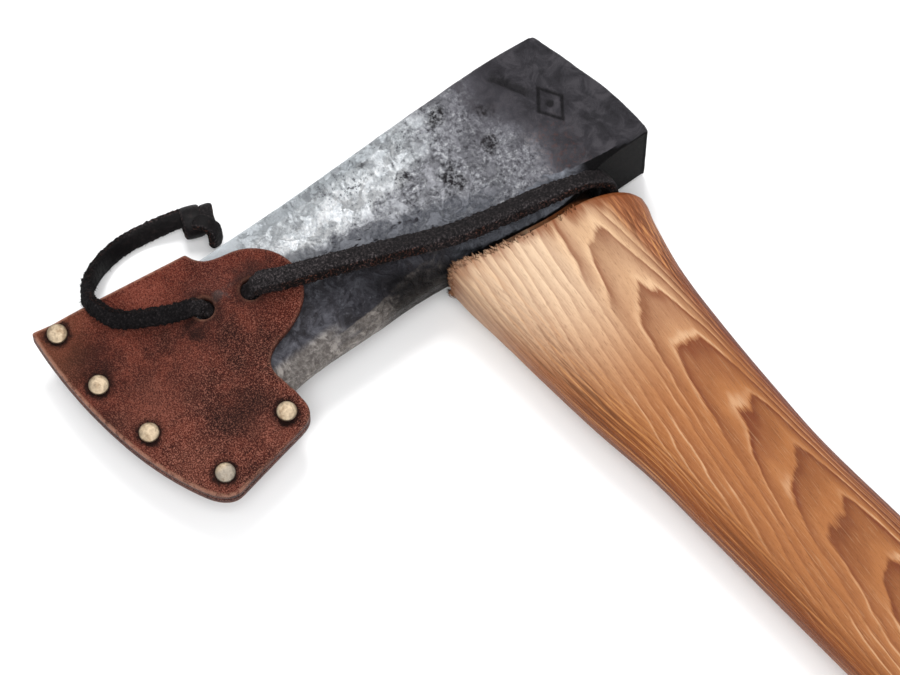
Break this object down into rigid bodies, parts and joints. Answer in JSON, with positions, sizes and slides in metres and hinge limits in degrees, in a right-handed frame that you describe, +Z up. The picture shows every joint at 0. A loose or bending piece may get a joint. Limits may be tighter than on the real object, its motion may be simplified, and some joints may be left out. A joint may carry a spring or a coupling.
{
  "type": "hatchet",
  "caption": "Small splitting hatchet: forged wedge-shaped head on a curved ash handle, with a riveted leather blade sheath tied on by a leather lace.",
  "frame": {"origin": "on the floor that the hatchet lies on, under the middle of its box, measured without the free end of the lace", "axes": "+X down the handle to the butt, +Y towards the poll, +Z up out of the cheek that lies on top"},
  "size_m": [0.5235, 0.1664, 0.0334],
  "materials": {
    "forged_steel": "dark forged scale over bright ground steel",
    "ash": "oiled",
    "wedge_wood": "raw",
    "bright_steel": "worn",
    "sheath_leather": "worn matt",
    "rivet_brass": "dull",
    "lace_leather": "rough"
  },
  "bodies": {
    "axe": {"head": "forged_steel", "handle": "ash", "eye_wedge": "wedge_wood", "steel_wedge": "bright_steel", "lace_front_stretch": "lace_leather", "lace_back_stretch": "lace_leather", "lace_wrap": "lace_leather"},
    "sheath": {"sheath_front_panel": "sheath_leather", "sheath_back_panel": "sheath_leather", "rivet_1_cap": "rivet_brass", "rivet_1_post": "rivet_brass", "rivet_2_cap": "rivet_brass", "rivet_2_post": "rivet_brass", "rivet_3_cap": "rivet_brass", "rivet_3_post": "rivet_brass", "rivet_4_cap": "rivet_brass", "rivet_4_post": "rivet_brass", "rivet_5_cap": "rivet_brass", "rivet_5_post": "rivet_brass", "lace_front_thread": "lace_leather", "lace_back_thread": "lace_leather", "lace_tail": "lace_leather", "lace_tail_knot": "lace_leather", "lace_stopper_knot": "lace_leather"}
  },
  "joints": [
    {"name": "sheath_slide", "type": "slide", "parent": "axe", "child": "sheath", "axis": [0.2334, -0.9724, 0], "range_m": [0, 0.055], "deforming": ["lace_front_stretch", "lace_back_stretch"]}
  ]
}
